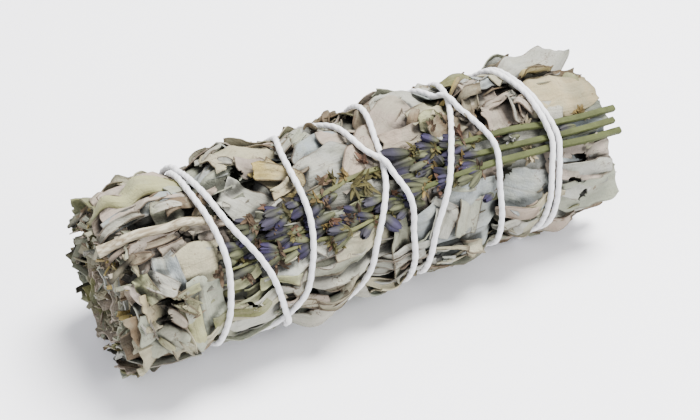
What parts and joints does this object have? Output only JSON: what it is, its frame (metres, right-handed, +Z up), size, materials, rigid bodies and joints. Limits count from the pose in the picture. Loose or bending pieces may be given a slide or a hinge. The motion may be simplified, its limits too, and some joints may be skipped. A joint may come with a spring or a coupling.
{
  "type": "sage bunch",
  "caption": "Dried white sage bunch with lavender sprigs laid along it, bound crosswise with white cotton string, lying on its side.",
  "frame": {"origin": "on the surface the bunch lies on, under the middle of its box", "axes": "+X along the bunch from the cut stem end to the leaf tips, +Z up, -Y the side that carries the lavender"},
  "size_m": [0.1207, 0.0438, 0.0421],
  "materials": {
    "sage_leaves": "dry felted grey-green leaf with darker torn edges, matt",
    "pale_sage_leaf": "dry felted pale leaf with a faint rib and brown edge, matt",
    "sage_stem": "dry cream-brown woody stem with fine long grain",
    "lavender": "dry olive stem with grey-violet ribbed flower cups",
    "cotton_string": "twisted two-strand cotton, matt, slightly fuzzy"
  },
  "bodies": {
    "root": {"sage_bundle": "sage_leaves", "sage_leaf_1": "pale_sage_leaf", "sage_leaf_2": "pale_sage_leaf", "sage_leaf_3": "pale_sage_leaf", "sage_leaf_4": "pale_sage_leaf", "sage_leaf_5": "pale_sage_leaf", "sage_leaf_6": "pale_sage_leaf", "sage_leaf_7": "pale_sage_leaf", "sage_leaf_8": "pale_sage_leaf", "sage_leaf_9": "pale_sage_leaf", "sage_leaf_10": "pale_sage_leaf", "sage_leaf_11": "pale_sage_leaf", "sage_leaf_12": "pale_sage_leaf", "sage_leaf_13": "pale_sage_leaf", "sage_leaf_14": "pale_sage_leaf", "sage_stem_1": "sage_stem", "sage_stem_2": "sage_stem", "sage_stem_3": "sage_stem", "sage_stem_4": "sage_stem", "sage_stem_outer": "sage_stem", "lavender_sprig_1": "lavender", "lavender_sprig_2": "lavender", "lavender_sprig_3": "lavender", "lavender_sprig_4": "lavender", "lavender_sprig_5": "lavender", "lavender_sprig_6": "lavender", "binding_string": "cotton_string"}
  },
  "joints": []
}
